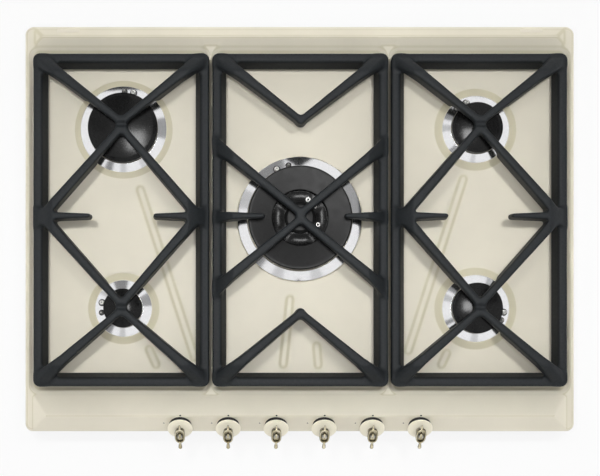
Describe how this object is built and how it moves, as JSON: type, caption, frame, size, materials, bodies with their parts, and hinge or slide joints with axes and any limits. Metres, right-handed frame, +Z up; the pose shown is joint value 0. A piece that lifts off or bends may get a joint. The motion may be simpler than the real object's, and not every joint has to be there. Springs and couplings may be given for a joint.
{
  "type": "cooktop",
  "caption": "Built-in gas cooktop: cream enamelled pan set into a worktop, capped burners under cast pan supports, and aged-brass bar knobs on a sloping front",
  "frame": {"origin": "middle of the pan in plan, at the surface of the worktop that it is set into", "axes": "+X to the right seen from the knobs, +Y to the rear, +Z up out of the worktop"},
  "size_m": [0.72, 0.5531, 0.098],
  "materials": {
    "enamel": "cream vitreous enamel, glossy",
    "enamel_trim": "cream moulded cover",
    "enamel_knob": "cream gloss knob skirt",
    "aged_brass": "aged brass look, satin",
    "seal_rubber": "foam sealing strip",
    "galvanised": "galvanised sheet",
    "cast_alu": "die-cast, matt",
    "crown_alu": "machined casting",
    "ring_chrome": "bright polished trim ring",
    "cap_enamel": "black enamel",
    "ceramic": "white glazed ceramic with steel tip",
    "sensor_steel": "heat-tinted steel",
    "brass": "turned brass",
    "zinc_steel": "zinc-plated steel",
    "pipe_alu": "drawn tube",
    "black_plastic": "black moulded plastic",
    "lead_silicone": "silicone-covered lead",
    "cast_iron": "matt black enamelled cast iron",
    "foot_rubber": "heat-proof rubber"
  },
  "bodies": {
    "root": {"base_box": "galvanised", "burner_crowns": "crown_alu", "burner_cups": "cast_alu", "burner_pipes": "pipe_alu", "burner_rings": "ring_chrome", "clamp_screws": "zinc_steel", "gas_inlet": "brass", "gas_rail": "zinc_steel", "hinge_covers": "enamel_trim", "ignition_switches": "black_plastic", "injectors": "brass", "knob_seals": "black_plastic", "leads": "lead_silicone", "spark_generator": "black_plastic", "spark_plugs": "ceramic", "tap_bodies": "brass", "terminal_block": "black_plastic", "thermocouples": "sensor_steel", "top_pan": "enamel", "wok_cup": "cast_alu", "wok_inner_crown": "crown_alu", "wok_outer_crown": "crown_alu", "worktop_clamps": "zinc_steel", "worktop_seal": "seal_rubber"},
    "left_support": {"grid_left": "cast_iron", "grid_feet_left": "foot_rubber"},
    "centre_support": {"grid_centre": "cast_iron", "grid_feet_centre": "foot_rubber"},
    "right_support": {"grid_right": "cast_iron", "grid_feet_right": "foot_rubber"},
    "rapid_cap": {"cap_rapid": "cap_enamel"},
    "auxiliary_cap": {"cap_auxiliary": "cap_enamel"},
    "semi_rear_cap": {"cap_semi_rear": "cap_enamel"},
    "semi_front_cap": {"cap_semi_front": "cap_enamel"},
    "wok_ring_cap": {"wok_outer_cap": "cap_enamel"},
    "wok_middle_cap": {"wok_inner_cap": "cap_enamel"},
    "tap_1": {"tap_plug_1": "brass"},
    "knob_1": {"tap_spindle_1": "zinc_steel", "knob_skirt_1": "enamel_knob", "knob_handle_1": "aged_brass"},
    "tap_2": {"tap_plug_2": "brass"},
    "knob_2": {"tap_spindle_2": "zinc_steel", "knob_skirt_2": "enamel_knob", "knob_handle_2": "aged_brass"},
    "tap_3": {"tap_plug_3": "brass"},
    "knob_3": {"tap_spindle_3": "zinc_steel", "knob_skirt_3": "enamel_knob", "knob_handle_3": "aged_brass"},
    "tap_4": {"tap_plug_4": "brass"},
    "knob_4": {"tap_spindle_4": "zinc_steel", "knob_skirt_4": "enamel_knob", "knob_handle_4": "aged_brass"},
    "tap_5": {"tap_plug_5": "brass"},
    "knob_5": {"tap_spindle_5": "zinc_steel", "knob_skirt_5": "enamel_knob", "knob_handle_5": "aged_brass"},
    "tap_6": {"tap_plug_6": "brass"},
    "knob_6": {"tap_spindle_6": "zinc_steel", "knob_skirt_6": "enamel_knob", "knob_handle_6": "aged_brass"}
  },
  "joints": [
    {"name": "left_support_lift", "type": "slide", "parent": "root", "child": "left_support", "axis": [0, 0, 1], "range_m": [0, 0.08]},
    {"name": "centre_support_lift", "type": "slide", "parent": "root", "child": "centre_support", "axis": [0, 0, 1], "range_m": [0, 0.08]},
    {"name": "right_support_lift", "type": "slide", "parent": "root", "child": "right_support", "axis": [0, 0, 1], "range_m": [0, 0.08]},
    {"name": "rapid_cap_lift", "type": "slide", "parent": "root", "child": "rapid_cap", "axis": [0, 0, 1], "range_m": [0, 0.005]},
    {"name": "auxiliary_cap_lift", "type": "slide", "parent": "root", "child": "auxiliary_cap", "axis": [0, 0, 1], "range_m": [0, 0.005]},
    {"name": "semi_rear_cap_lift", "type": "slide", "parent": "root", "child": "semi_rear_cap", "axis": [0, 0, 1], "range_m": [0, 0.005]},
    {"name": "semi_front_cap_lift", "type": "slide", "parent": "root", "child": "semi_front_cap", "axis": [0, 0, 1], "range_m": [0, 0.005]},
    {"name": "wok_ring_cap_lift", "type": "slide", "parent": "root", "child": "wok_ring_cap", "axis": [0, 0, 1], "range_m": [0, 0.005]},
    {"name": "wok_middle_cap_lift", "type": "slide", "parent": "root", "child": "wok_middle_cap", "axis": [0, 0, 1], "range_m": [0, 0.005]},
    {"name": "tap_1_turn", "type": "hinge", "parent": "root", "child": "tap_1", "pos_m": [-0.15625, -0.25618, 0.01552], "axis": [0, -0.7071, 0.7071], "range_deg": [0, 210]},
    {"name": "knob_1_press", "type": "slide", "parent": "tap_1", "child": "knob_1", "axis": [0, 0.7071, -0.7071], "range_m": [0, 0.003], "stiffness_N_per_m": 2000, "springref_m": -0.001},
    {"name": "tap_2_turn", "type": "hinge", "parent": "root", "child": "tap_2", "pos_m": [-0.09375, -0.25618, 0.01552], "axis": [0, -0.7071, 0.7071], "range_deg": [0, 210]},
    {"name": "knob_2_press", "type": "slide", "parent": "tap_2", "child": "knob_2", "axis": [0, 0.7071, -0.7071], "range_m": [0, 0.003], "stiffness_N_per_m": 2000, "springref_m": -0.001},
    {"name": "tap_3_turn", "type": "hinge", "parent": "root", "child": "tap_3", "pos_m": [-0.03125, -0.25618, 0.01552], "axis": [0, -0.7071, 0.7071], "range_deg": [0, 210]},
    {"name": "knob_3_press", "type": "slide", "parent": "tap_3", "child": "knob_3", "axis": [0, 0.7071, -0.7071], "range_m": [0, 0.003], "stiffness_N_per_m": 2000, "springref_m": -0.001},
    {"name": "tap_4_turn", "type": "hinge", "parent": "root", "child": "tap_4", "pos_m": [0.03125, -0.25618, 0.01552], "axis": [0, -0.7071, 0.7071], "range_deg": [0, 210]},
    {"name": "knob_4_press", "type": "slide", "parent": "tap_4", "child": "knob_4", "axis": [0, 0.7071, -0.7071], "range_m": [0, 0.003], "stiffness_N_per_m": 2000, "springref_m": -0.001},
    {"name": "tap_5_turn", "type": "hinge", "parent": "root", "child": "tap_5", "pos_m": [0.09375, -0.25618, 0.01552], "axis": [0, -0.7071, 0.7071], "range_deg": [0, 210]},
    {"name": "knob_5_press", "type": "slide", "parent": "tap_5", "child": "knob_5", "axis": [0, 0.7071, -0.7071], "range_m": [0, 0.003], "stiffness_N_per_m": 2000, "springref_m": -0.001},
    {"name": "tap_6_turn", "type": "hinge", "parent": "root", "child": "tap_6", "pos_m": [0.15625, -0.25618, 0.01552], "axis": [0, -0.7071, 0.7071], "range_deg": [0, 210]},
    {"name": "knob_6_press", "type": "slide", "parent": "tap_6", "child": "knob_6", "axis": [0, 0.7071, -0.7071], "range_m": [0, 0.003], "stiffness_N_per_m": 2000, "springref_m": -0.001}
  ]
}
